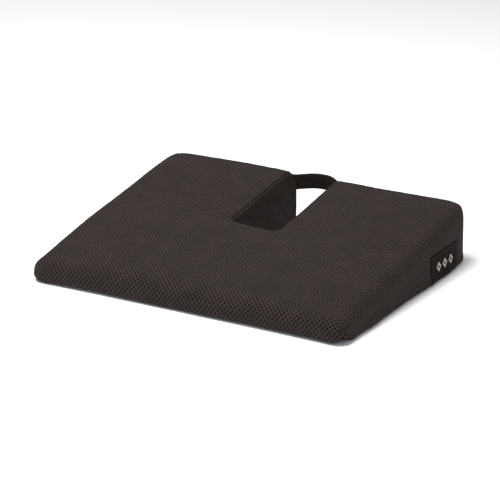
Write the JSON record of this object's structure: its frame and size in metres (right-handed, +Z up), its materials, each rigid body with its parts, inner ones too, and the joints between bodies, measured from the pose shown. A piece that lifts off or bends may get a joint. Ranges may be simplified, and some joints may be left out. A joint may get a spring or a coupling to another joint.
{
  "type": "coccyx wedge seat cushion",
  "caption": "Black wedge seat cushion, thick at the rear, with a tailbone cut-out, zipped mesh cover over a foam core and a webbing carry handle.",
  "frame": {"origin": "on the surface the cushion lies on, in the middle of the bounding box seen from above, handle included", "axes": "+X towards the sitter's right, the side with the label; +Y towards the thick rear edge with the cut-out; +Z up"},
  "size_m": [0.458, 0.377, 0.083],
  "materials": {
    "spacer_mesh": "black polyester spacer mesh with open honeycomb face, matte",
    "side_mesh": "black polyester spacer mesh, matte",
    "boxing_mesh": "black polyester spacer mesh, matte",
    "grip_fabric": "black woven underside with small rubber grip dots",
    "firm_foam": null,
    "memory_foam": null,
    "zip_tape": "black woven polyester tape",
    "zip_nylon": "black nylon coil",
    "zip_metal": "black painted zinc die casting",
    "webbing": "black polypropylene webbing",
    "thread": "black polyester sewing thread",
    "label_satin": "black woven satin label, blank"
  },
  "bodies": {
    "cushion": {"cover_top_panel": "spacer_mesh", "cover_side_band_left": "side_mesh", "cover_side_band_right": "side_mesh", "cover_cutout_boxing": "boxing_mesh", "cover_bottom_panel": "grip_fabric", "foam_base": "firm_foam", "foam_topper": "memory_foam", "side_label": "label_satin", "zip_tape_front": "zip_tape", "zip_tape_rear": "zip_tape", "zip_coil_front": "zip_nylon", "zip_coil_rear": "zip_nylon", "zip_stop_closed_end": "zip_metal", "zip_stop_open_end": "zip_metal", "handle_end_left": "webbing", "handle_end_right": "webbing", "handle_stitching_left": "thread", "handle_stitching_right": "thread"},
    "handle": {"handle_strap": "webbing"},
    "zip_slider": {"zip_slider": "zip_metal"},
    "zip_pull": {"zip_pull_tab": "zip_metal"}
  },
  "joints": [
    {"name": "handle_swing", "type": "hinge", "parent": "cushion", "child": "handle", "pos_m": [0, 0.16765, 0.067], "axis": [1, 0, 0], "range_deg": [-70, 80]},
    {"name": "zip_slide", "type": "slide", "parent": "cushion", "child": "zip_slider", "axis": [1, 0, 0], "range_m": [0, 0.378]},
    {"name": "zip_pull_turn", "type": "hinge", "parent": "zip_slider", "child": "zip_pull", "pos_m": [-0.1923, -0.17858, 0.00254], "axis": [0, 0.952, -0.306], "range_deg": [0, 180]}
  ]
}
